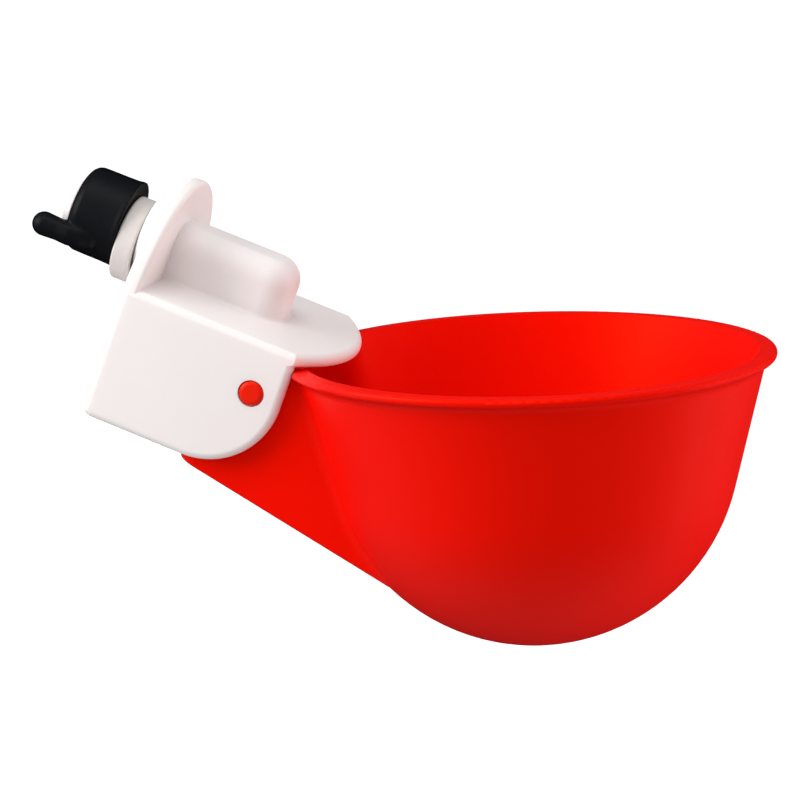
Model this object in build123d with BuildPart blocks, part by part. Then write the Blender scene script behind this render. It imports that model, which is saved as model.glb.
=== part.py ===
"""Poultry drinking cup: a red cup on a trough arm, hinged in a white valve bracket.

Millimetres. The frame is the bracket's, as it hangs on a wall: X runs forward from the inlet
stub to the cup, Y across, Z up. The origin is the centre of the inlet stub's open end.
"""
from build123d import *
from math import asin, atan2, cos, hypot, radians, sin, sqrt, tan
import os

os.makedirs("parts", exist_ok=True)

# Inlet stub, with the outside diameter of a 1/8 in pipe thread
stub_d = 9.73
stub_bore_d = 4.8
stub_taper = 1.7
stub_taper_depth = 0.9
thread_length = 11.2
neck_d = 8.0
neck_length = 3.7
pad_d = 19.6
pad_end_d = 13.6
pad_depth = 3.2
pad_end_round = 1.0
pad_foot_round = 1.0

# Bracket: back plate, cheeks, deck and its rounded tongue
plate_t = 3.0
bracket_width = 40.0
cheek_t = 2.5
cheek_bottom_below_pin = 14.8
cheek_front_past_pin = 5.3
cheek_front_radius = 13.5
deck_t = 2.2
deck_top_above_pin = 9.1
tongue_reach = 6.2
plate_above_pad = 2.0
plate_corner_round = 1.7
plate_rear_round = 1.4
plate_front_round = 0.8
cheek_round = 1.3
cheek_inner_round = 0.5
deck_round = 1.3
deck_under_round = 0.8

# Valve housing on the deck, with the chamber and the seat inside it
boss_width = 12.6
boss_height = 9.9
boss_front_behind_pin = 2.2
boss_corner_radius = 4.8
boss_top_round = 4.2
boss_foot_round = 0.8
chamber_d = 7.4
chamber_top_below_stub = 3.8
collar_wall = 1.3
collar_below_deck = 3.9
seat_hole_d = 3.0
seat_ring_wall = 0.8
seat_ring_height = 0.6

# Hinge
pin_from_plate_back = 26.9
pin_below_stub = 14.3
pin_d = 4.5
pin_dome = 0.9
pin_proud = 0.2
pin_running_clearance = 0.06
pin_fit_clearance = 0.02
rest_tilt = 22.0
travel = 20.0

# Cup: a drafted round bowl with a lip, and a straight trough arm
bowl_from_pin = 44.4
bowl_depth = 47.2
bowl_draft = 14.3
rim_above_pin = 3.5
cup_wall = 1.5
lip_d = 84.0
lip_reach = 1.4
lip_face = 1.4
lip_height = 2.9
lip_round = 0.7
lip_gap_to_cheek = 0.35
arm_side_clearance = 0.6
arm_tail_behind_pin = 14.5
arm_tail_depth = 11.9
arm_floor_inside_ball = 0.2
arm_floor_t = 1.6
arm_tail_round = 3.0
arm_edge_round = 0.6
arm_join_round = 3.0
pin_boss_wall = 1.25
pin_boss_t = 1.5
post_d = 4.4
post_behind_valve = 0.6
post_foot_round = 1.0

# Valve plunger with its seal and spring
valve_behind_pin = 7.0
post_gap = 0.15
seal_gap = 0.1
seal_t = 1.8
seal_seat_depth = 0.8
head_wall = 0.6
head_t = 1.8
stem_d = 3.0
foot_clearance = 0.25
foot_t = 1.2
spring_wire_d = 0.5
spring_clearance = 0.2
spring_turns = 6
spring_end_gap = 0.02

# Thumb nut and the loose washer on the stub
nut_start = 1.9
nut_length = 9.3
nut_end_d = 12.8
nut_d = 15.4
nut_flange_d = 15.9
nut_chamfer_length = 1.3
nut_edge_round = 0.4
nut_running_clearance = 0.05
finger_reach = 5.7
finger_root = 6.4
finger_width = 4.2
finger_thickness = 3.4
finger_round = 1.5
finger_tip_round = 1.4
finger_circle_d = 15.4
finger_below_level = 30.0
washer_d = 15.1
washer_hole_d = 12.2
washer_gap = 0.12
washer_round = 0.5
hang_gap = 0.05

# A hair, to pick edges by their place, and how far a cutting shape runs past what it cuts
near = 0.05
overcut = 1.0

# Places that follow from the sizes above
plate_back_x = thread_length + neck_length + pad_depth
plate_front_x = plate_back_x + plate_t
plate_middle_x = plate_back_x + plate_t / 2
pin_x = plate_back_x + pin_from_plate_back
pin_z = -pin_below_stub
half_width = bracket_width / 2
inner_half = half_width - cheek_t
cheek_bottom_z = pin_z - cheek_bottom_below_pin
cheek_front_x = pin_x + cheek_front_past_pin
deck_top_z = pin_z + deck_top_above_pin
deck_under_z = deck_top_z - deck_t
deck_middle_z = deck_top_z - deck_t / 2
arch_centre_z = pad_d / 2 + plate_above_pad - half_width
valve_x = pin_x - valve_behind_pin
chamber_top_z = -chamber_top_below_stub
seat_z = chamber_top_z - seat_ring_height
collar_bottom_z = deck_under_z - collar_below_deck
pin_reach = half_width + pin_proud
tilt = radians(rest_tilt)
draft = radians(bowl_draft)
arm_half = inner_half - arm_side_clearance
pin_boss_radius = pin_d / 2 + pin_boss_wall
post_radius = post_d / 2
post_behind_pin = valve_behind_pin + post_behind_valve


def height_at_tilt(x, z, angle):
    """How high a point of the level cup stands above the pin when the nose is up by an angle."""
    return x * sin(angle) + z * cos(angle)


# The post's top is a ball, so it stays one radius above its centre at every tilt
post_rest = height_at_tilt(-post_behind_pin, -post_radius, tilt)
post_closed = height_at_tilt(-post_behind_pin, -post_radius, tilt - radians(travel))
valve_lift = post_closed - post_rest
foot_bottom_z = pin_z + post_rest + post_radius + post_gap
foot_top_z = foot_bottom_z + foot_t
seal_top_z = seat_z - seal_gap - valve_lift
seal_bottom_z = seal_top_z - seal_t
head_top_z = seal_bottom_z + seal_seat_depth
head_bottom_z = head_top_z - head_t
foot_d = chamber_d - 2 * foot_clearance
spring_mean_d = chamber_d - 2 * spring_clearance - spring_wire_d
head_d = spring_mean_d - spring_wire_d - 2 * spring_clearance
seal_d = head_d - 2 * head_wall

# Valve housing: a block on the deck with rounded front corners and a rounded top
with BuildPart() as valve_boss:
    with BuildSketch(Plane.XY.offset(deck_middle_z)) as boss_plan:
        boss_length = pin_x - boss_front_behind_pin - plate_middle_x
        with Locations((plate_middle_x + boss_length / 2, 0)):
            Rectangle(boss_length, boss_width)
        fillet(boss_plan.vertices().group_by(Axis.X)[-1], boss_corner_radius)
    extrude(amount=boss_height + deck_t / 2)
    boss_rim = valve_boss.faces().sort_by(Axis.Z)[-1].edges()
    fillet(boss_rim.filter_by(lambda edge: edge.center().X > plate_middle_x + near), boss_top_round)

# Deck with its tongue, a flat plate whose front edge is one shallow arc, rounded below
with BuildPart() as deck:
    with BuildSketch(Plane.XY.offset(deck_under_z)):
        with BuildLine():
            Polyline(
                (cheek_front_x, half_width),
                (plate_middle_x, half_width),
                (plate_middle_x, -half_width),
                (cheek_front_x, -half_width),
            )
            ThreePointArc(
                (cheek_front_x, -half_width),
                (cheek_front_x + tongue_reach, 0),
                (cheek_front_x, half_width),
            )
        make_face()
    extrude(amount=deck_t)
    fillet(deck.edges().filter_by(GeomType.CIRCLE).sort_by(Axis.Z)[0], deck_under_round)

# Cheeks: one block with the side view's outline, hollowed between its sides, under the deck
with BuildPart() as cheeks:
    with BuildSketch(Plane.XZ):
        with BuildLine():
            FilletPolyline(
                (plate_middle_x, cheek_bottom_z),
                (cheek_front_x, cheek_bottom_z),
                (cheek_front_x, deck_top_z),
                radius=cheek_front_radius,
            )
            Polyline(
                (cheek_front_x, deck_top_z),
                (plate_middle_x, deck_top_z),
                (plate_middle_x, cheek_bottom_z),
            )
        make_face()
    extrude(amount=half_width, both=True)
    outlines = cheeks.edges().group_by(Axis.Y)
    for outline in (outlines[0], outlines[-1]):
        in_front = outline.filter_by(lambda edge: edge.center().X > plate_front_x)
        fillet(in_front.filter_by(lambda edge: edge.center().Z < deck_top_z - near), cheek_round)
    with BuildSketch(Plane.YZ.offset(plate_middle_x)):
        gap_height = deck_under_z - cheek_bottom_z + overcut
        with Locations((0, deck_under_z - gap_height / 2)):
            Rectangle(2 * inner_half, gap_height)
    extrude(amount=cheek_front_x - plate_middle_x + overcut, mode=Mode.SUBTRACT)
    cheek_insides = cheeks.edges().filter_by(lambda edge: edge.center().Z < deck_under_z - near)
    for side in (-inner_half, inner_half):
        inner_outline = cheek_insides.filter_by_position(Axis.Y, side - near, side + near)
        fillet(inner_outline.filter_by(lambda edge: edge.center().X > plate_front_x), cheek_inner_round)
    add(deck.part)
    deck_rim = cheeks.faces().sort_by(Axis.Z)[-1].edges()
    fillet(deck_rim.filter_by(lambda edge: edge.center().X > plate_front_x), deck_round)

# Back plate: a tombstone outline, rounded front and back
with BuildPart() as back_plate:
    with BuildSketch(Plane.YZ.offset(plate_back_x)) as tombstone:
        with Locations((0, arch_centre_z)):
            Circle(half_width)
        with Locations((0, (cheek_bottom_z + arch_centre_z) / 2)):
            Rectangle(bracket_width, arch_centre_z - cheek_bottom_z)
        fillet(tombstone.vertices().group_by(Axis.Y)[0], plate_corner_round)
    extrude(amount=plate_t)
    fillet(back_plate.faces().sort_by(Axis.X)[0].edges(), plate_rear_round)
    fillet(back_plate.faces().sort_by(Axis.X)[-1].edges(), plate_front_round)

# Bracket body: all of these as one white moulding, with the stub behind and the bores
with BuildPart() as bracket_body:
    add(back_plate.part)
    add(cheeks.part)
    add(valve_boss.part)
    at_deck_top = bracket_body.edges().filter_by_position(Axis.Z, deck_top_z - near, deck_top_z + near)
    boss_foot = at_deck_top.filter_by_position(Axis.Y, -boss_width / 2 - near, boss_width / 2 + near)
    fillet(boss_foot.filter_by(lambda edge: edge.center().X > plate_front_x + near), boss_foot_round)
    with BuildSketch(Plane.XZ):
        with BuildLine():
            Polyline(
                (plate_middle_x, 0),
                (plate_middle_x, pad_d / 2),
                (plate_back_x, pad_d / 2),
                (plate_back_x - pad_depth, pad_end_d / 2),
                (plate_back_x - pad_depth, 0),
                close=True,
            )
        make_face()
    revolve(axis=Axis.X)
    pad_rings = bracket_body.edges().filter_by(GeomType.CIRCLE).sort_by(Axis.X)
    fillet(pad_rings[0], pad_end_round)
    at_plate_back = bracket_body.edges().filter_by_position(Axis.X, plate_back_x - near, plate_back_x + near)
    fillet(at_plate_back.filter_by(lambda edge: edge.is_closed), pad_foot_round)
    with BuildSketch(Plane.YZ.offset(plate_back_x - pad_depth)):
        Circle(neck_d / 2)
    extrude(amount=-neck_length)
    with BuildSketch(Plane.YZ.offset(thread_length)):
        Circle(stub_d / 2)
    extrude(amount=-thread_length)
    stub_end = bracket_body.faces().sort_by(Axis.X)[0]
    chamfer(stub_end.edges(), stub_taper_depth, stub_taper, reference=stub_end)
    # The chamber in its collar under the deck
    with BuildSketch(Plane.XY.offset(collar_bottom_z)):
        with Locations((valve_x, 0)):
            Circle(chamber_d / 2 + collar_wall)
    extrude(amount=deck_middle_z - collar_bottom_z)
    with BuildSketch(Plane.XY.offset(collar_bottom_z)):
        with Locations((valve_x, 0)):
            Circle(chamber_d / 2)
    extrude(amount=chamber_top_z - collar_bottom_z, mode=Mode.SUBTRACT)
    # The seat ring round the hole that lets the water down, and the inlet passage to it
    with BuildSketch(Plane.XY.offset(seat_z)):
        with Locations((valve_x, 0)):
            Circle(seat_hole_d / 2 + seat_ring_wall)
    extrude(amount=seat_ring_height)
    with BuildSketch(Plane.XY.offset(seat_z)):
        with Locations((valve_x, 0)):
            Circle(seat_hole_d / 2)
    extrude(amount=-seat_z, mode=Mode.SUBTRACT)
    with BuildSketch(Plane.YZ):
        Circle(stub_bore_d / 2)
    extrude(amount=valve_x, mode=Mode.SUBTRACT)
    # The pin's holes in both cheeks
    with BuildSketch(Plane.XZ):
        with Locations((pin_x, pin_z)):
            Circle(pin_d / 2 + pin_running_clearance)
    extrude(amount=half_width + overcut, both=True, mode=Mode.SUBTRACT)
bracket_body.part.label = "bracket_body"
export_step(bracket_body.part, "parts/bracket_body.step")


# The bowl's foot is a ball that meets the drafted wall smoothly, under the lip's overhang
wall_top_radius = lip_d / 2 - lip_reach
bowl_radius = (wall_top_radius - (rim_above_pin + bowl_depth) * tan(draft)) / (1 / cos(draft) - tan(draft))
bowl_centre_z = -(bowl_depth - bowl_radius)

# The arm's floor slopes from its tail to the ball, and its two sides end just inside the ball
floor_to_centre = sqrt(bowl_radius**2 - arm_half**2) - arm_floor_inside_ball
tail_to_centre_x = bowl_from_pin + arm_tail_behind_pin
tail_to_centre_z = bowl_centre_z + arm_tail_depth
tail_to_centre = hypot(tail_to_centre_x, tail_to_centre_z)
slope = asin(floor_to_centre / tail_to_centre) - atan2(tail_to_centre_z, tail_to_centre_x)
arm_end_x = bowl_from_pin - floor_to_centre * sin(slope)
bowl_axis = Axis((bowl_from_pin, 0, 0), (0, 0, 1))


def bowl_radius_at(height, inset):
    """The drafted wall's radius at a height above the pin, moved inwards by an inset."""
    radius = bowl_radius - inset
    wall_foot_z = bowl_centre_z - radius * sin(draft)
    return radius * cos(draft) + (height - wall_foot_z) * tan(draft)


def bowl_section(inset, top):
    """Half of the bowl's section in the level cup's side view: an arc, then the drafted wall."""
    radius = bowl_radius - inset
    wall_top = (bowl_from_pin + bowl_radius_at(top, inset), top)
    CenterArc((bowl_from_pin, bowl_centre_z), radius, -90, 90 - bowl_draft)
    Line((bowl_from_pin + radius * cos(draft), bowl_centre_z - radius * sin(draft)), wall_top)
    Polyline(wall_top, (bowl_from_pin, top), (bowl_from_pin, bowl_centre_z - radius))


def floor_height(x, inset):
    """Height of the arm's sloping floor at a place ahead of the pin, moved up by an inset."""
    return -arm_tail_depth - (x + arm_tail_behind_pin) * tan(slope) + inset / cos(slope)


def arm_outline(inset, floor_inset, top):
    """The arm's side view: tail, sloping floor, and its end inside the ball."""
    tail_x = -arm_tail_behind_pin + inset
    Polyline(
        (tail_x, top),
        (tail_x, floor_height(tail_x, floor_inset)),
        (arm_end_x, floor_height(arm_end_x, floor_inset)),
        (arm_end_x, top),
        close=True,
    )


# The arm's outside
with BuildPart() as arm_outside:
    with BuildSketch(Plane.XZ):
        with BuildLine():
            arm_outline(0, 0, rim_above_pin)
        make_face()
    extrude(amount=arm_half, both=True)
    tail_edges = arm_outside.edges().filter_by(Axis.Z).group_by(Axis.X)[0]
    fillet(tail_edges, arm_tail_round)
    floor_edges = arm_outside.faces().sort_by(Axis.Z)[0].edges()
    fillet(floor_edges.filter_by(lambda edge: edge.center().X < arm_end_x - near), arm_edge_round)

# Lip round the bowl's rim, cut off where the bracket's cheeks begin
with BuildPart() as lip:
    with BuildSketch(Plane.XZ):
        lip_foot_z = rim_above_pin - lip_height
        lip_foot = (bowl_from_pin + bowl_radius_at(lip_foot_z, 0), lip_foot_z)
        lip_edge = (bowl_from_pin + lip_d / 2, rim_above_pin - lip_face)
        with BuildLine():
            TangentArc(lip_foot, lip_edge, tangent=(sin(draft), cos(draft)))
            Polyline(
                lip_edge,
                (bowl_from_pin + lip_d / 2, rim_above_pin),
                (bowl_from_pin + bowl_radius_at(rim_above_pin, cup_wall / 2), rim_above_pin),
                (bowl_from_pin + bowl_radius_at(lip_foot_z, cup_wall / 2), lip_foot_z),
                lip_foot,
            )
        lip_section = make_face()
        fillet(lip_section.vertices().group_by(Axis.X)[-1], lip_round)
    revolve(axis=bowl_axis)
    lip_cut_x = cheek_front_past_pin + lip_gap_to_cheek
    cheek_side = Plane(
        origin=(lip_cut_x * cos(tilt), 0, -lip_cut_x * sin(tilt)),
        z_dir=(cos(tilt), 0, -sin(tilt)),
    )
    split(bisect_by=cheek_side, keep=Keep.TOP)

# The arm's inside, left solid where the pin's bosses and the valve's post stand
with BuildPart() as arm_inside:
    with BuildSketch(Plane.XZ):
        with BuildLine():
            arm_outline(cup_wall, arm_floor_t, rim_above_pin + overcut)
        make_face()
    extrude(amount=arm_half - cup_wall, both=True)
    inner_tail = arm_inside.edges().filter_by(Axis.Z).group_by(Axis.X)[0]
    fillet(inner_tail, arm_tail_round - cup_wall)
    with BuildSketch(Plane.XY.offset(-post_radius)):
        with Locations((-post_behind_pin, 0)):
            Circle(post_radius)
    extrude(until=Until.LAST, dir=(0, 0, -1), mode=Mode.SUBTRACT)
    fillet(arm_inside.edges().filter_by(GeomType.ELLIPSE), post_foot_round)
    with Locations((-post_behind_pin, 0, -post_radius)):
        Sphere(post_radius, mode=Mode.SUBTRACT)
    for side in (-1, 1):
        with BuildSketch(Plane.XZ.offset(side * (arm_half - cup_wall))):
            Circle(pin_boss_radius)
        extrude(amount=-side * pin_boss_t, mode=Mode.SUBTRACT)

# The hollow of bowl and arm together, its joints as round as the outside's and a wall more
with BuildPart() as cup_inside:
    with BuildSketch(Plane.XZ):
        with BuildLine():
            bowl_section(cup_wall, rim_above_pin + overcut)
        make_face()
    revolve(axis=bowl_axis)
    add(arm_inside.part)
    inner_joint = cup_inside.edges().filter_by_position(Axis.X, pin_boss_radius, arm_end_x)
    inner_joint = inner_joint.filter_by(lambda edge: edge.center().Z < rim_above_pin + overcut - near)
    fillet(inner_joint.filter_by(lambda edge: edge.geom_type != GeomType.LINE), arm_join_round + cup_wall)

# Cup, level, with the pin's axis at its origin
with BuildPart() as level_cup:
    with BuildSketch(Plane.XZ):
        with BuildLine():
            bowl_section(0, rim_above_pin)
        make_face()
    revolve(axis=bowl_axis)
    add(arm_outside.part)
    below_rim = level_cup.edges().filter_by(lambda edge: edge.center().Z < rim_above_pin - near)
    arm_joint = below_rim.filter_by_position(Axis.X, 0, arm_end_x)
    fillet(arm_joint.filter_by(lambda edge: edge.geom_type != GeomType.LINE), arm_join_round)
    add(lip.part)
    add(cup_inside.part, mode=Mode.SUBTRACT)
    with BuildSketch(Plane.XZ):
        Circle(pin_d / 2 + pin_fit_clearance)
    extrude(amount=half_width, both=True, mode=Mode.SUBTRACT)

# Drinking cup: the level cup swung nose up about the pin, to its rest
with BuildPart() as drinking_cup:
    with Locations(Location((pin_x, 0, pin_z), (0, -rest_tilt, 0))):
        add(level_cup.part)
drinking_cup.part.label = "drinking_cup"
export_step(drinking_cup.part, "parts/drinking_cup.step")

# Hinge pin: a plain rod with domed ends, right through both cheeks and the arm
with BuildPart() as hinge_pin:
    with BuildSketch(Plane.XZ):
        with Locations((pin_x, pin_z)):
            Circle(pin_d / 2)
    extrude(amount=pin_reach, both=True)
    fillet(hinge_pin.edges().filter_by(GeomType.CIRCLE), pin_dome)
hinge_pin.part.label = "hinge_pin"
export_step(hinge_pin.part, "parts/hinge_pin.step")

# Valve plunger: a foot on the cup's post, a stem and a head that holds the seal
with BuildPart() as valve_plunger:
    with BuildSketch(Plane.XY.offset(foot_bottom_z)):
        with Locations((valve_x, 0)):
            Circle(foot_d / 2)
    extrude(amount=foot_t)
    with BuildSketch(Plane.XY.offset(foot_top_z)):
        with Locations((valve_x, 0)):
            Circle(stem_d / 2)
    extrude(amount=head_bottom_z - foot_top_z)
    with BuildSketch(Plane.XY.offset(head_bottom_z)):
        with Locations((valve_x, 0)):
            Circle(head_d / 2)
    extrude(amount=head_t)
    with BuildSketch(Plane.XY.offset(seal_bottom_z)):
        with Locations((valve_x, 0)):
            Circle(seal_d / 2)
    extrude(amount=seal_seat_depth, mode=Mode.SUBTRACT)
valve_plunger.part.label = "valve_plunger"
export_step(valve_plunger.part, "parts/valve_plunger.step")

# Valve seal: a rubber disc in the plunger's head
with BuildPart() as valve_seal:
    with BuildSketch(Plane.XY.offset(seal_bottom_z)):
        with Locations((valve_x, 0)):
            Circle(seal_d / 2)
    extrude(amount=seal_t)
valve_seal.part.label = "valve_seal"
export_step(valve_seal.part, "parts/valve_seal.step")

# Return spring: it pushes the plunger, and so the cup's arm, down
spring_bottom_z = foot_top_z + spring_end_gap + spring_wire_d / 2
spring_top_z = chamber_top_z - spring_end_gap - spring_wire_d / 2
spring_height = spring_top_z - spring_bottom_z
with BuildPart() as return_spring:
    with BuildLine():
        coil = Helix(
            pitch=spring_height / spring_turns,
            height=spring_height,
            radius=spring_mean_d / 2,
            center=(valve_x, 0, spring_bottom_z),
        )
    with BuildSketch(Plane(origin=coil @ 0, z_dir=coil % 0)):
        Circle(spring_wire_d / 2)
    sweep(path=coil)
return_spring.part.label = "return_spring"
export_step(return_spring.part, "parts/return_spring.step")

# Thumb nut: a turned collar with one finger that reaches past its end
with BuildPart() as thumb_nut:
    with BuildSketch(Plane.XZ):
        with BuildLine():
            Polyline(
                (nut_start, 0),
                (nut_start, nut_end_d / 2),
                (nut_start + nut_chamfer_length, nut_d / 2),
                (nut_start + nut_length, nut_flange_d / 2),
                (nut_start + nut_length, 0),
                close=True,
            )
        nut_section = make_face()
        fillet(nut_section.vertices().filter_by(lambda corner: corner.Y > near), nut_edge_round)
    revolve(axis=Axis.X)
    finger_angle = 180 + finger_below_level
    finger_y = finger_circle_d / 2 * cos(radians(finger_angle))
    finger_z = finger_circle_d / 2 * sin(radians(finger_angle))
    with BuildSketch(Plane.YZ.offset(nut_start - finger_reach)):
        with Locations(Location((finger_y, finger_z, 0), (0, 0, finger_angle))):
            RectangleRounded(finger_thickness, finger_width, finger_round)
    extrude(amount=finger_reach + finger_root)
    with BuildSketch(Plane.YZ.offset(nut_start)):
        Circle(stub_d / 2 + nut_running_clearance)
    extrude(amount=nut_length, mode=Mode.SUBTRACT)
    fillet(thumb_nut.faces().sort_by(Axis.X)[0].edges(), finger_tip_round)
thumb_nut.part.label = "thumb_nut"
export_step(thumb_nut.part, "parts/thumb_nut.step")

# Stub washer: a loose ring that hangs in the neck behind the thread
with BuildPart() as stub_washer:
    washer_drop = (washer_hole_d - neck_d) / 2 - hang_gap
    with BuildSketch(Plane.YZ.offset(thread_length + washer_gap)):
        with Locations((0, -washer_drop)):
            Circle(washer_d / 2)
            Circle(washer_hole_d / 2, mode=Mode.SUBTRACT)
    extrude(amount=neck_length - 2 * washer_gap)
    washer_rims = stub_washer.edges().filter_by(GeomType.CIRCLE).group_by(SortBy.LENGTH)[-1]
    fillet(washer_rims, washer_round)
stub_washer.part.label = "stub_washer"
export_step(stub_washer.part, "parts/stub_washer.step")

print(f"valve lift {valve_lift:.3f} mm in {travel:.0f} degrees: {valve_lift / radians(travel):.4f} mm/rad")
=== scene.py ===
# %% [markdown]
# This lesson dresses a poultry drinking cup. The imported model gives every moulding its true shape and
# place. The script gives the mouldings their plastics and rubbers, models the thumb nut, the stub's
# thread and the return spring by hand, and sets up a small studio. Everything is in metres, in the
# model's own frame: X runs forward from the inlet stub to the cup, Y across, Z up, and the origin is
# the centre of the stub's open end.

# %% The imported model
from math import cos, hypot, pi, radians, sin, tan

import bpy
from mathutils import Matrix, Vector


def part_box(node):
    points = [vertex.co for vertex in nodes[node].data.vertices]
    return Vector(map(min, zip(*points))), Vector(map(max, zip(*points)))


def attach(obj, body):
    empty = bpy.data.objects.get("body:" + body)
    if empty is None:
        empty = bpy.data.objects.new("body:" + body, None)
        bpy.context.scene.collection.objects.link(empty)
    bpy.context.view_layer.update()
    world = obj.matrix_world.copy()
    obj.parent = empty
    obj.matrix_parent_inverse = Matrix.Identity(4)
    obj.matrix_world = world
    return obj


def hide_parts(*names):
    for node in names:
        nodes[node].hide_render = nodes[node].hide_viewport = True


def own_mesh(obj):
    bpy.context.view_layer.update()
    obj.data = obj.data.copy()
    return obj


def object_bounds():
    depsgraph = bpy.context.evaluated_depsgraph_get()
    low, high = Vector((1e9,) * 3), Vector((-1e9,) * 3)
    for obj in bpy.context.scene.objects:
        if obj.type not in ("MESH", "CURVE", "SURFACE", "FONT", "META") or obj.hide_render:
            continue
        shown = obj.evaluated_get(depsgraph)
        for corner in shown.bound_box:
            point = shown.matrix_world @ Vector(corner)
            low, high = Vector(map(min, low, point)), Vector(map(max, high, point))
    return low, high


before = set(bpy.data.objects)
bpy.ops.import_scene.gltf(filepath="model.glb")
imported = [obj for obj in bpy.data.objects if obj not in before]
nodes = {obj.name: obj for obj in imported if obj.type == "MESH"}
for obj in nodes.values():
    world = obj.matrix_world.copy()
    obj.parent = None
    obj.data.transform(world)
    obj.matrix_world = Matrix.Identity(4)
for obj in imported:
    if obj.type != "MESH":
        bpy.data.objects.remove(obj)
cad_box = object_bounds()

MM = 0.001
scene = bpy.context.scene
print("CAD nodes:", ", ".join(sorted(nodes)))

# %% [markdown]
# The camera stands where the photograph was taken: a long lens, a little above the cup and almost
# square to its side. The bracket hangs nose down in the picture, so the camera is rolled instead
# of the object, which stays upright in its own frame.

# %% Camera
CAMERA_AZIMUTH = radians(7.61)
CAMERA_ELEVATION = radians(15.19)
CAMERA_ROLL = radians(20.05)
CAMERA_DISTANCE = 540.5 * MM
CAMERA_TARGET = Vector((67.41, 0.0, -11.40)) * MM  # lies in the middle of the picture
PIXELS_PER_MM = 5.770  # at the target's distance
PICTURE_PIXELS = 808
SENSOR = 36.0  # the camera's own millimetres

# The picture's directions in the model's frame. Back points from the target to the camera.
back = Vector((
    sin(CAMERA_AZIMUTH) * cos(CAMERA_ELEVATION),
    -cos(CAMERA_AZIMUTH) * cos(CAMERA_ELEVATION),
    sin(CAMERA_ELEVATION),
))
level = Vector((cos(CAMERA_AZIMUTH), sin(CAMERA_AZIMUTH), 0.0))
upright = back.cross(level)
right = level * cos(CAMERA_ROLL) + upright * sin(CAMERA_ROLL)
up = upright * cos(CAMERA_ROLL) - level * sin(CAMERA_ROLL)

camera = bpy.data.objects.new("camera", bpy.data.cameras.new("camera"))
scene.collection.objects.link(camera)
camera.data.sensor_width = SENSOR
camera.data.lens = PIXELS_PER_MM / MM * CAMERA_DISTANCE / PICTURE_PIXELS * SENSOR
camera.matrix_world = Matrix((right, up, back)).transposed().to_4x4()
camera.location = CAMERA_TARGET + back * CAMERA_DISTANCE
bpy.context.scene.camera = camera
print(f"lens {camera.data.lens:.1f} mm")

# %% [markdown]
# The studio is high-key, as for a catalogue picture on white paper. Colours are shown as they are,
# with no film look. The sky lights the cup softly from all round, and the paper floor only shows in
# the picture and lights nothing. Both are hidden from reflections, and so is one softbox, so gloss
# shows only the left and the front softbox, as if black cloths stood elsewhere.

# %% Colours are given as sRGB hex values
def srgb(code):
    """The linear colour of a hex value such as "C81008", by the sRGB curve."""
    channels = [int(code[i:i + 2], 16) / 255 for i in (0, 2, 4)]
    linear = [c / 12.92 if c <= 0.04045 else ((c + 0.055) / 1.055) ** 2.4 for c in channels]
    return (*linear, 1.0)


def set_sockets(shader, **values):
    """Sets sockets of a shader by their names, with underscores for the spaces."""
    for name, value in values.items():
        shader.inputs[name.replace("_", " ")].default_value = value


# %% Paper floor and paper sky
FLOOR_DROP = 200 * MM
FLOOR_SIZE = 12.0
PAPER_SKY = 0.57
PAPER_GLOW = 0.55

scene.view_settings.view_transform = "Standard"
world = bpy.data.worlds.new("studio")
world.use_nodes = True
scene.world = world  # before its visibility is set, because that setting updates the scene's world
world.cycles_visibility.glossy = False
set_sockets(world.node_tree.nodes["Background"], Color=srgb("FFFFFF"), Strength=PAPER_SKY)

bpy.ops.object.select_all(action="DESELECT")
bpy.ops.mesh.primitive_plane_add(size=FLOOR_SIZE, location=(0, 0, cad_box[0].z - FLOOR_DROP))
floor = bpy.context.object
floor.name = "floor"
floor.visible_glossy = False
floor.visible_diffuse = False
floor_paper = bpy.data.materials.new("floor_paper")
floor_paper.use_nodes = True
set_sockets(floor_paper.node_tree.nodes["Principled BSDF"], Base_Color=srgb("FBFBFB"), Roughness=0.9,
            Specular_IOR_Level=0.0, Emission_Color=srgb("FFFFFF"), Emission_Strength=PAPER_GLOW)
floor.data.materials.append(floor_paper)
print(f"floor {FLOOR_DROP / MM:.0f} mm below the cup")

# %% [markdown]
# Three softboxes are placed by the picture's own directions, in metres from the camera's target. The
# left one makes that side of the bowl glow. The right one lifts the far side and leaves no highlight
# there. The front one, high up, reaches into the bowl. The front of the bowl between them falls into
# a deeper red.

# %% Softboxes
def soft_light(name, across, above, towards, size, adds, in_gloss=True):
    """A square area light. It adds that much light to a surface that it strikes square."""
    lamp = bpy.data.objects.new(name, bpy.data.lights.new(name, "AREA"))
    away = right * across + up * above + back * towards
    lamp.data.size = size
    lamp.data.energy = adds * 4 * pi * away.length_squared
    lamp.visible_camera = False
    lamp.visible_glossy = in_gloss
    lamp.location = CAMERA_TARGET + away
    lamp.rotation_mode = "QUATERNION"
    lamp.rotation_quaternion = away.to_track_quat("Z", "Y")
    scene.collection.objects.link(lamp)
    print(f"{name}: {lamp.data.energy:.1f} W")


soft_light("left_softbox", across=-0.42, above=0.20, towards=0.17, size=0.34, adds=0.70)
soft_light("right_softbox", across=0.50, above=-0.02, towards=-0.08, size=0.40, adds=0.55,
           in_gloss=False)
soft_light("front_softbox", across=-0.05, above=0.75, towards=0.45, size=0.50, adds=0.24)

# %% [markdown]
# The thumb nut is black nylon, moulded in one shot: a round collar, and one thick finger along its
# side that reaches past the stub's end, so that a thumb can turn it. A turned profile with a finger
# set on it would leave the finger's root sharp. Here collar and finger are made apart, joined and
# wrapped in one skin. A few helpers come first, because every new piece needs them.

# %% Helpers for modelling
SMOOTH_UP_TO = radians(40)


def select_only(active, *others):
    """Selects these pieces and nothing else, and makes the first one active."""
    bpy.ops.object.select_all(action="DESELECT")
    for piece in (active, *others):
        piece.select_set(True)
    bpy.context.view_layer.objects.active = active


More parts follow.
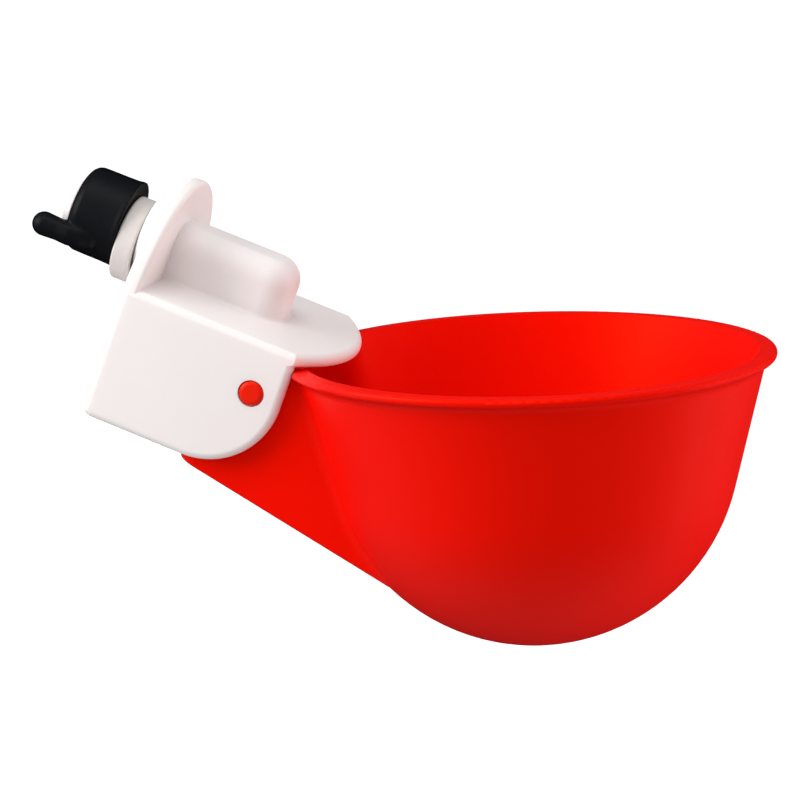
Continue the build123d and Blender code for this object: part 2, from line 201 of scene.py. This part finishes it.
def pick(piece, test):
    """Selects, in edit mode, the vertices whose place passes a test."""
    bpy.ops.object.mode_set(mode="EDIT")
    bpy.ops.mesh.select_mode(type="VERT")
    bpy.ops.mesh.select_all(action="DESELECT")
    bpy.ops.object.mode_set(mode="OBJECT")
    for vertex in piece.data.vertices:
        vertex.select = test(vertex.co)
    bpy.ops.object.mode_set(mode="EDIT")


def new_piece(name):
    """Names the primitive just added and puts its place into its mesh."""
    piece = bpy.context.object
    piece.name = name
    bpy.ops.object.transform_apply(location=True, rotation=True, scale=True)
    return piece


def cut_across(x):
    """Cuts the whole mesh, in edit mode, where it crosses a plane square to the stub."""
    bpy.ops.mesh.select_all(action="SELECT")
    bpy.ops.mesh.bisect(plane_co=(x, 0, 0), plane_no=(1, 0, 0))


def apply_modifier(piece, kind, **settings):
    """Adds a modifier with its settings and applies it at once."""
    modifier = piece.modifiers.new(kind.lower(), kind)
    for name, value in settings.items():
        setattr(modifier, name, value)
    bpy.context.view_layer.objects.active = piece
    bpy.ops.object.modifier_apply(modifier=modifier.name)


# %% [markdown]
# The collar has a chamfer at the stub's end, nearly straight sides so that it leaves the mould, and a
# slight flare at the other end. A spun outline would do as well. A cylinder that is cut across into
# rings, each squeezed to its own radius, shows better which ring does what.

# %% Collar of the nut
COLLAR_RINGS = [  # distance along the stub and radius, in mm
    (1.90, 6.45),
    (2.25, 7.05),
    (2.75, 7.50),
    (3.40, 7.72),
    (5.60, 7.76),
    (8.20, 7.76),
    (10.20, 7.82),
    (10.90, 7.95),
]
NUT_SIDES = 96
ON_A_RING = 0.01 * MM
nut_low, nut_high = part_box("thumb_nut")
collar_start = COLLAR_RINGS[0][0] * MM
widest = COLLAR_RINGS[-1][1]
collar_length = nut_high.x - collar_start
collar_middle = collar_start + collar_length / 2

bpy.ops.object.select_all(action="DESELECT")
bpy.ops.mesh.primitive_cylinder_add(vertices=NUT_SIDES, radius=widest * MM, depth=collar_length,
                                    location=(collar_middle, 0, 0), rotation=(0, pi / 2, 0))
nut = new_piece("thumb_nut_moulded")
bpy.ops.object.mode_set(mode="EDIT")
for along, radius in COLLAR_RINGS[1:]:
    cut_across(along * MM)
for along, radius in COLLAR_RINGS:
    pick(nut, lambda place: abs(place.x - along * MM) < ON_A_RING)
    squeeze = radius / widest
    bpy.ops.transform.resize(value=(1, squeeze, squeeze), center_override=(along * MM, 0, 0))
bpy.ops.object.mode_set(mode="OBJECT")
print("collar:", len(nut.data.polygons), "faces")

# %% [markdown]
# The finger starts as a ball, because both its ends are round. Its far half is pulled along the nut,
# which stretches it into a rod. Cuts across the rod give it a slight neck, and let its far end lean
# towards the axis, so that it runs out in the collar's side.

# %% Finger of the nut
FINGER_RADIUS = 2.15 * MM
FINGER_CIRCLE = 7.60 * MM
FINGER_ANGLE = radians(180 + 30)
FINGER_END = 8.6 * MM
FINGER_CUTS = (1.0 * MM, 3.2 * MM, 5.4 * MM)
NECK_SQUEEZE = 0.93
LEAN_AT_LAST_CUT = 0.07  # leans are shares of the finger's distance from the axis
LEAN_AT_END = 0.09
finger_y = FINGER_CIRCLE * cos(FINGER_ANGLE)
finger_z = FINGER_CIRCLE * sin(FINGER_ANGLE)
near_x = nut_low.x + FINGER_RADIUS
far_x = FINGER_END - FINGER_RADIUS
neck_x = FINGER_CUTS[0]

bpy.ops.object.select_all(action="DESELECT")
bpy.ops.mesh.primitive_uv_sphere_add(segments=40, ring_count=20, radius=FINGER_RADIUS,
                                     location=(near_x, finger_y, finger_z), rotation=(0, pi / 2, 0))
finger = new_piece("finger")
pick(finger, lambda place: place.x > near_x + ON_A_RING)
bpy.ops.transform.translate(value=(far_x - near_x, 0, 0))
for x in FINGER_CUTS:
    cut_across(x)
pick(finger, lambda place: abs(place.x - neck_x) < ON_A_RING)
bpy.ops.transform.resize(value=(1, NECK_SQUEEZE, NECK_SQUEEZE),
                         center_override=(neck_x, finger_y, finger_z))
for from_x, lean in ((FINGER_CUTS[-1] - ON_A_RING, LEAN_AT_LAST_CUT), (far_x, LEAN_AT_END)):
    pick(finger, lambda place: place.x > from_x)
    bpy.ops.transform.translate(value=(0, -lean * finger_y, -lean * finger_z))
bpy.ops.object.mode_set(mode="OBJECT")
print("finger:", len(finger.data.polygons), "faces")

# %% [markdown]
# Two shells that overlap would show a sharp line where they meet. A voxel remesh wraps both in one
# skin. The finger's root is then rubbed smooth, as a mould maker rounds that corner so that the
# finger doesn't snap off, and a light rub all over takes the voxels' steps away.

# %% Collar and finger in one skin
NUT_VOXEL = 0.16 * MM
ROOT_FROM = 1.2 * MM
ROOT_TO = 10.4 * MM
ROOT_REACH = 3.6 * MM
ROOT_RUBS = 14
SKIN_RUBS = 2
RUB_STRENGTH = 0.5

select_only(nut, finger)
bpy.ops.object.join()
apply_modifier(nut, "REMESH", mode="VOXEL", voxel_size=NUT_VOXEL, use_smooth_shade=True)
root = nut.vertex_groups.new(name="root")
for vertex in nut.data.vertices:
    from_finger = hypot(vertex.co.y - finger_y, vertex.co.z - finger_z)
    if ROOT_FROM < vertex.co.x < ROOT_TO and from_finger < ROOT_REACH:
        root.add([vertex.index], 1.0, "REPLACE")
apply_modifier(nut, "SMOOTH", factor=RUB_STRENGTH, iterations=ROOT_RUBS, vertex_group="root")
apply_modifier(nut, "SMOOTH", factor=RUB_STRENGTH, iterations=SKIN_RUBS)
print("nut:", len(nut.data.polygons), "faces")

# %% [markdown]
# The real nut has a pipe thread inside. The stub fills it, so none of it shows, and a plain bore with
# a hair's clearance is enough. It is cut last, because the remesh would have blurred its edge.

# %% Bore of the nut
STUB_RADIUS = 4.865 * MM
NUT_CLEARANCE = 0.05 * MM
bore_length = 3 * collar_length  # well past both ends

bpy.ops.object.select_all(action="DESELECT")
bpy.ops.mesh.primitive_cylinder_add(vertices=NUT_SIDES, radius=STUB_RADIUS + NUT_CLEARANCE,
                                    depth=bore_length, location=(collar_middle, 0, 0),
                                    rotation=(0, pi / 2, 0))
bore = new_piece("bore")
apply_modifier(nut, "BOOLEAN", operation="DIFFERENCE", solver="EXACT", object=bore)
bpy.data.objects.remove(bore)
select_only(nut)
bpy.ops.object.shade_smooth_by_angle(angle=SMOOTH_UP_TO)
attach(nut, "nut")
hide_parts("thumb_nut")
print("nut after the bore:", len(nut.data.polygons), "faces")

# %% [markdown]
# The stub carries a pipe thread, 28 turns to the inch, so 0.907 mm from crest to crest. It is moulded
# with the bracket, and only about two turns show outside the nut. The thread could be a bump, but then
# its outline would stay straight. So a long V-shaped wire is wound by the Screw modifier, and a Boolean
# cuts it as a groove out of a copy of the bracket.

# %% What is wound has open ends, and one helper closes them
def close_ends(piece, sides):
    """Fills the two end sections of a wound wire and turns its faces outwards."""
    bpy.context.view_layer.objects.active = piece
    bpy.ops.object.mode_set(mode="EDIT")
    bpy.ops.mesh.select_mode(type="EDGE")
    bpy.ops.mesh.select_all(action="DESELECT")
    bpy.ops.mesh.select_non_manifold()
    bpy.ops.mesh.fill_holes(sides=sides)
    bpy.ops.mesh.select_all(action="SELECT")
    bpy.ops.mesh.normals_make_consistent(inside=False)
    bpy.ops.object.mode_set(mode="OBJECT")


# %% The wire that cuts the thread
PITCH = 25.4 / 28 * MM
THREAD_DEPTH = 0.58 * MM
THREAD_HALF_ANGLE = radians(27.5)
THREAD_FROM = -0.6 * MM
THREAD_TURNS = 14
THREAD_STEPS = 64
WIRE_PROUD = 0.15 * MM  # how far the wire stands out of the stub, so that the cut is clean
wire_half_width = (THREAD_DEPTH + WIRE_PROUD) * tan(THREAD_HALF_ANGLE)
wire_root = STUB_RADIUS - THREAD_DEPTH
wire_top = STUB_RADIUS + WIRE_PROUD

bpy.ops.object.select_all(action="DESELECT")
bpy.ops.mesh.primitive_circle_add(vertices=3, radius=PITCH, location=(THREAD_FROM, 0, 0))
wire = new_piece("thread_wire")
corners = [
    (THREAD_FROM, 0, wire_root),
    (THREAD_FROM + wire_half_width, 0, wire_top),
    (THREAD_FROM - wire_half_width, 0, wire_top),
]
for vertex, corner in zip(wire.data.vertices, corners):
    vertex.co = corner
apply_modifier(wire, "SCREW", axis="X", angle=2 * pi, screw_offset=PITCH, iterations=THREAD_TURNS,
               steps=THREAD_STEPS, render_steps=THREAD_STEPS, use_merge_vertices=False)
close_ends(wire, sides=3)
print("thread wire:", len(wire.data.polygons), "faces")

# %% [markdown]
# The solid's own mesh is loose triangles, and a Boolean needs one closed skin. So the bracket's copy
# is merged first. The Boolean leaves long thin faces beside the thread, and weighted normals keep
# the shading of the flat sides even.

# %% The threaded bracket
MERGE_WITHIN = 0.0005 * MM
BRACKET_SMOOTH_UP_TO = radians(30)

bracket = bpy.data.objects.new("bracket_with_thread", nodes["bracket_body"].data.copy())
scene.collection.objects.link(bracket)
select_only(bracket)
bpy.ops.mesh.customdata_custom_splitnormals_clear()
bpy.ops.object.mode_set(mode="EDIT")
bpy.ops.mesh.select_all(action="SELECT")
bpy.ops.mesh.remove_doubles(threshold=MERGE_WITHIN)
bpy.ops.object.mode_set(mode="OBJECT")
apply_modifier(bracket, "BOOLEAN", operation="DIFFERENCE", solver="EXACT", object=wire)
bpy.data.objects.remove(wire)
bpy.ops.object.shade_smooth_by_angle(angle=BRACKET_SMOOTH_UP_TO)
apply_modifier(bracket, "WEIGHTED_NORMAL", keep_sharp=True, weight=80)
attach(bracket, "bracket")
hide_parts("bracket_body")
print("threaded bracket:", len(bracket.data.polygons), "faces")

# %% [markdown]
# The return spring stands round the plunger in the valve's chamber and pushes it down. The real one
# is wound from straight wire on a mandrel. The imported solid has its form, but it can't shorten, and
# the plunger rises into it when the cup tilts. The wire's round section is wound once more here, as
# tall as the imported solid, and it hangs with the bracket without shortening either.

# %% Return spring
SPRING_WIRE_RADIUS = 0.25 * MM
SPRING_SIDES = 12
SPRING_TURNS = 6
SPRING_STEPS = 48
spring_low, spring_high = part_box("return_spring")
spring_x = (spring_low.x + spring_high.x) / 2
coil_radius = (spring_high.x - spring_low.x) / 2 - SPRING_WIRE_RADIUS
coil_height = spring_high.z - spring_low.z - 2 * SPRING_WIRE_RADIUS

bpy.ops.object.select_all(action="DESELECT")
bpy.ops.mesh.primitive_circle_add(vertices=SPRING_SIDES, radius=SPRING_WIRE_RADIUS,
                                  location=(coil_radius, 0, 0), rotation=(pi / 2, 0, 0))
spring = new_piece("wound_spring")
apply_modifier(spring, "SCREW", axis="Z", angle=2 * pi, screw_offset=coil_height / SPRING_TURNS,
               iterations=SPRING_TURNS, steps=SPRING_STEPS, render_steps=SPRING_STEPS,
               use_merge_vertices=False)
close_ends(spring, sides=SPRING_SIDES)
bpy.ops.object.mode_set(mode="EDIT")
bpy.ops.mesh.select_all(action="SELECT")
bpy.ops.transform.translate(value=(spring_x, 0, spring_low.z + SPRING_WIRE_RADIUS))
bpy.ops.object.mode_set(mode="OBJECT")
bpy.ops.object.shade_smooth_by_angle(angle=SMOOTH_UP_TO)
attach(spring, "bracket")
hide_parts("return_spring")
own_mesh(spring)
print("spring:", len(spring.data.polygons), "faces")

# %% [markdown]
# All the plastics here are injection-moulded, so they share one recipe, and the rubber and the wire
# take it too. The real surface is the print of a polished or spark-eroded steel mould: a soft gloss
# with a very faint skin. The colour is mixed into the granules and drifts a little across the
# moulding. The grain of the skin is a few hundredths of a millimetre, too fine to show, so it is drawn
# about ten times coarser.

# %% Nodes are added by one function
def add_node(tree, kind, inputs=None, **settings):
    """Adds a node. An input is a value, or another node's output socket to link."""
    node = tree.nodes.new(kind)
    for name, value in settings.items():
        setattr(node, name, value)
    for name, value in (inputs or {}).items():
        if isinstance(value, bpy.types.NodeSocket):
            tree.links.new(value, node.inputs[name])
        else:
            node.inputs[name].default_value = value
    return node


# %% One recipe for the finishes
DRIFT_SIZE = 28 * MM  # across one cloud of colour
GLOSSIER = 0.05  # how far the roughness goes down, and up, from its middle
DULLER = 0.06


def fine_finish(name, colour, deep_colour, roughness, ior, skin_mm, skin_depth_mm):
    """A finish of two close colours in slow drifts, with a fine skin and an uneven gloss."""
    material = bpy.data.materials.new(name)
    material.use_nodes = True
    tree = material.node_tree
    shader = tree.nodes["Principled BSDF"]
    place = add_node(tree, "ShaderNodeTexCoord").outputs["Object"]
    drift = add_node(tree, "ShaderNodeTexNoise", {
        "Vector": place,
        "Scale": 1 / DRIFT_SIZE,
        "Detail": 3.0,
    })
    skin = add_node(tree, "ShaderNodeTexNoise", {
        "Vector": place,
        "Scale": 1 / (skin_mm * MM),
        "Detail": 4.0,
    })
    tint = add_node(tree, "ShaderNodeMix", {
        "Factor": drift.outputs["Fac"],
        "A": srgb(colour),
        "B": srgb(deep_colour),
    }, data_type="RGBA")
    sheen = add_node(tree, "ShaderNodeMapRange", {
        "Value": skin.outputs["Fac"],
        "To Min": roughness - GLOSSIER,
        "To Max": roughness + DULLER,
    })
    relief = add_node(tree, "ShaderNodeBump", {
        "Height": skin.outputs["Fac"],
        "Distance": skin_depth_mm * MM,
        "Strength": 1.0,
    })
    tree.links.new(tint.outputs["Result"], shader.inputs["Base Color"])
    tree.links.new(sheen.outputs["Result"], shader.inputs["Roughness"])
    tree.links.new(relief.outputs["Normal"], shader.inputs["Normal"])
    set_sockets(shader, IOR=ior)
    print(f"{name}: roughness {roughness}, IOR {ior}, skin drawn at {skin_mm} mm")
    return material, shader


# %% [markdown]
# The cup is polypropylene with a strong red pigment. Its gloss is soft and looks warm, because the
# light that the skin scatters has passed through red plastic first. A little light also goes in and
# comes out nearby, which softens the thin rim.

# %% Red polypropylene of the cup
red_polypropylene, shader = fine_finish(
    "red_polypropylene", "F80A00", "F00600",
    roughness=0.42, ior=1.49, skin_mm=0.5, skin_depth_mm=0.003,
)
set_sockets(shader, Specular_IOR_Level=0.35, Specular_Tint=srgb("FF6A08"), Subsurface_Weight=0.08,
            Subsurface_Scale=3.0 * MM, Subsurface_Radius=(1.0, 0.08, 0.02))

# %% [markdown]
# The bracket and the plunger are uncoloured polypropylene with a little white pigment. It is milky:
# light runs some millimetres inside, so the edges look lighter than the flat sides.

# %% White polypropylene of the bracket
white_polypropylene, shader = fine_finish(
    "white_polypropylene", "F2ECEA", "EDE6E5",
    roughness=0.42, ior=1.49, skin_mm=0.6, skin_depth_mm=0.004,
)
set_sockets(shader, Specular_IOR_Level=0.22, Subsurface_Weight=0.30, Subsurface_Scale=3.0 * MM,
            Subsurface_Radius=(1.0, 0.75, 0.65))

# %% [markdown]
# The pin is acetal, a hard and slippery bearing plastic, in a red a little duller than the cup's.
# The nut is glass-filled nylon, nearly black, and its fibres leave the skin less even and less
# glossy. The washer is white silicone, softer and more satin than the bracket.

# %% Pin, nut and washer
pin_acetal, shader = fine_finish(
    "pin_acetal", "F01E08", "E61806",
    roughness=0.34, ior=1.48, skin_mm=0.5, skin_depth_mm=0.004,
)
set_sockets(shader, Specular_IOR_Level=0.4, Specular_Tint=srgb("FFA080"))
black_nylon, shader = fine_finish(
    "black_nylon", "141519", "101114",
    roughness=0.45, ior=1.53, skin_mm=0.8, skin_depth_mm=0.012,
)
set_sockets(shader, Specular_IOR_Level=0.08)
silicone, shader = fine_finish(
    "silicone", "D6D0CC", "D0CAC6",
    roughness=0.50, ior=1.41, skin_mm=0.6, skin_depth_mm=0.004,
)
set_sockets(shader, Specular_IOR_Level=0.25, Subsurface_Weight=0.2, Subsurface_Scale=2.0 * MM)

# %% [markdown]
# Inside the housing, out of the picture's sight, are the valve's rubber disc and its spring. The
# rubber is nitrile, dark and matt. The spring is drawn stainless wire, bright, with fine marks from
# the drawing die.

# %% Seal and spring
nitrile_rubber, shader = fine_finish(
    "nitrile_rubber", "1C1B1B", "141414",
    roughness=0.60, ior=1.52, skin_mm=0.3, skin_depth_mm=0.006,
)
stainless_wire, shader = fine_finish(
    "stainless_wire", "B9BABD", "A9ABAF",
    roughness=0.30, ior=1.50, skin_mm=0.1, skin_depth_mm=0.001,
)
set_sockets(shader, Metallic=1.0)

# %% [markdown]
# Each piece takes its finish in the one material slot of its mesh. The bracket, the spring and the nut
# are the pieces made here, and the solids that they stand for are hidden.

# %% Finishes on the pieces
FINISHES = [
    (bracket, white_polypropylene),
    (nodes["drinking_cup"], red_polypropylene),
    (nodes["hinge_pin"], pin_acetal),
    (nodes["valve_plunger"], white_polypropylene),
    (nodes["valve_seal"], nitrile_rubber),
    (spring, stainless_wire),
    (nut, black_nylon),
    (nodes["stub_washer"], silicone),
]
for piece, material in FINISHES:
    piece.data.materials.clear()
    piece.data.materials.append(material)
    print(piece.name, "is", material.name)
